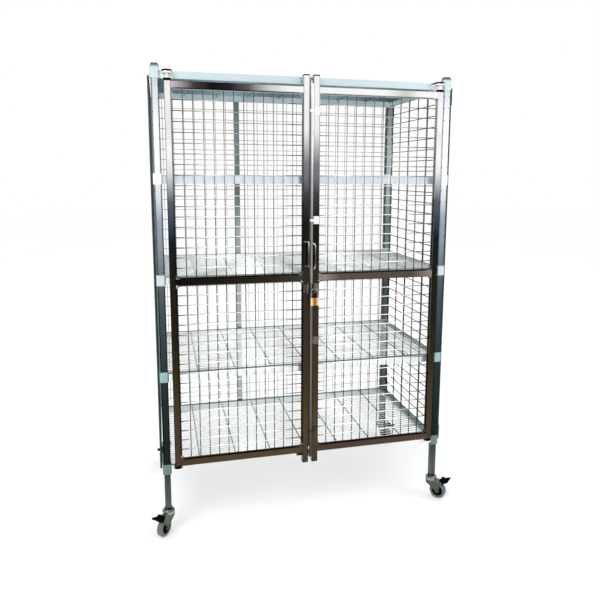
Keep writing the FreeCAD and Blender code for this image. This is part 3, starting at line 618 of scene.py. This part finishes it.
def rear_panels():
    low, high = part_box("rear_panels")
    depth = (low.y + high.y) / 2
    behind = depth + PANEL_WIRE * PANEL_WELD
    ahead = depth - PANEL_WIRE * PANEL_WELD
    width = (high.x - low.x) / REAR_PANELS
    wires = WireSet()
    for i in range(REAR_PANELS):
        x0 = low.x + i * width + PANEL_BORDER
        x1 = low.x + (i + 1) * width - PANEL_BORDER
        z0 = low.z + PANEL_BORDER
        z1 = high.z - PANEL_BORDER
        loop = rounded_rectangle((x0, z0), (x1, z1), depth, BORDER_CORNER)
        wires.add(loop, PANEL_BORDER * PANEL_LOOP, closed=True)
        for x in spaced(x0, x1, REAR_COLUMNS):
            wires.straight((x, behind, z0), (x, behind, z1), PANEL_WIRE)
        for z in spaced(z0, z1, PANEL_ROWS):
            wires.straight((x0, ahead, z), (x1, ahead, z), PANEL_WIRE)
    wires.build("rear_panels_wires", rear_panel_wire, "cage", "rear_panels")


DECK_GAPS = 28
DECK_ROD_COUNT = 7
DECK_ROD_PITCH = 0.156
DECK_ROD = 0.003
DECK_WIRE = 0.0018
DECK_INSET = 0.011
DECK_WELD = 0.9
END_ROD = DECK_ROD * 0.8


def deck(name):
    """Shelf wires along X on cross rods, with a lighter rod near each end."""
    low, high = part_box(name)
    middle = (low.x + high.x) / 2
    wires = WireSet()
    top = high.z - DECK_WIRE
    rod_z = top - DECK_WIRE - DECK_ROD * DECK_WELD
    y0 = low.y + DECK_INSET
    y1 = high.y - DECK_INSET
    for y in [y0, *spaced(y0, y1, DECK_GAPS), y1]:
        wires.straight((low.x, y, top), (high.x, y, top), DECK_WIRE)
    rods = WireSet()
    for i in range(DECK_ROD_COUNT):
        x = middle + (i - (DECK_ROD_COUNT - 1) / 2) * DECK_ROD_PITCH
        rods.straight((x, low.y, rod_z), (x, high.y, rod_z), DECK_ROD)
    for x in (low.x + DECK_ROD, high.x - DECK_ROD):
        rods.straight((x, y0, rod_z), (x, y1, rod_z), END_ROD)
    wires.build(name + "_wires", deck_wire, "cage", name)
    rods.build(name + "_rods", deck_rod, "cage", None)


for side in ("left", "right"):
    door_mesh(side)
    side_panel(side)
rear_panels()
LEVELS = ["shelf_1", "shelf_2", "shelf_3", "shelf_4", "roof"]
for level in LEVELS:
    deck(level + "_deck")
    paint(level + "_rails", rail_metal)


# ---- finishes of the CAD nodes ------------------------------------------------------
FINISHES = {
    "post_front_left": post_metal, "post_front_right": post_metal,
    "post_rear_left": rear_post_metal, "post_rear_right": rear_post_metal,
    "legs": leg_metal, "post_top_plugs": plug_metal, "corner_collars": collar_metal,
    "rear_uprights": upright_metal, "panel_hooks": bracket_metal,
    "door_brackets_top": bracket_metal, "bracket_caps": black_nylon, "door_brackets_bottom": bracket_metal,
    "pivot_washers": black_nylon, "rod_keepers": lock_metal, "stem_bushings": black_nylon,
    "door_left_frame": door_metal, "door_right_frame": door_metal,
    "door_left_end_fittings": black_nylon, "door_right_end_fittings": black_nylon,
    "door_left_pull": handle_metal, "door_left_lug": lug_metal, "door_right_lug": lug_metal,
    "rod_guides": guide_metal, "lock_rod": lock_metal, "lock_handle": handle_metal,
    "padlock_case": brass, "padlock_shackle": shackle_steel, "door_right_strip": strip_metal,
}
for node, material in FINISHES.items():
    paint(node, material)
for corner in ("front_left", "front_right", "rear_left", "rear_right"):
    paint("caster_%s_fork" % corner, caster_metal)
    paint("caster_%s_tyre" % corner, tyre_rubber)
    paint("caster_%s_hub" % corner, hub_nylon)
    paint("caster_%s_pedal" % corner, black_nylon)


# ---- studio -------------------------------------------------------------------------
FLOOR_SIZE = 40.0
SOFTBOXES = (                   # name, place, size, watts
    ("key_softbox", (-2.6, -3.2, 3.6), 2.4, 90.0),
    ("fill_softbox", (3.4, -2.2, 2.6), 2.6, 45.0),
)
EYE_PLACE = (-0.6122, -2.7486, 1.5102)
EYE_TURN = (81.281, -0.356, -14.453)    # degrees
EYE_LENS = 36.09                        # mm on a 36 mm sensor
EYE_SENSOR = 36.0
EYE_SHIFT = (-0.0236, -0.0564)


def studio():
    bpy.ops.mesh.primitive_plane_add(size=FLOOR_SIZE, location=(0, 0, 0))
    floor = bpy.context.object
    floor.name = "studio_floor"
    shader = Shader("studio_floor")
    haze = shader.noise(0.6, 2.0)
    tone = shader.ramp(shader.spread(haze, 0.0, 1.0), [(0.0, (253, 253, 253)), (1.0, (255, 255, 255))])
    floor.data.materials.append(shader.finish(tone, 0.7, 0.0))

    world = bpy.data.worlds.new("studio")
    bpy.context.scene.world = world
    world.use_nodes = True
    background = world.node_tree.nodes["Background"]
    background.inputs["Color"].default_value = (1.0, 1.0, 1.0, 1.0)
    background.inputs["Strength"].default_value = 1.0
    bpy.context.scene.view_settings.view_transform = "Standard"

    for name, place, size, power in SOFTBOXES:
        light = bpy.data.lights.new(name, "AREA")
        light.size = size
        light.energy = power
        lamp = bpy.data.objects.new(name, light)
        lamp.location = place
        aim = Vector((0, 0, HEIGHT / 2)) - Vector(place)
        lamp.rotation_euler = aim.to_track_quat("-Z", "Y").to_euler()
        bpy.context.scene.collection.objects.link(lamp)


def camera():
    data = bpy.data.cameras.new("view")
    data.sensor_width = EYE_SENSOR
    data.lens = EYE_LENS
    data.shift_x, data.shift_y = EYE_SHIFT
    eye = bpy.data.objects.new("view", data)
    eye.location = EYE_PLACE
    eye.rotation_euler = [math.radians(angle) for angle in EYE_TURN]
    bpy.context.scene.collection.objects.link(eye)
    bpy.context.scene.camera = eye


studio()
camera()
bpy.context.view_layer.update()
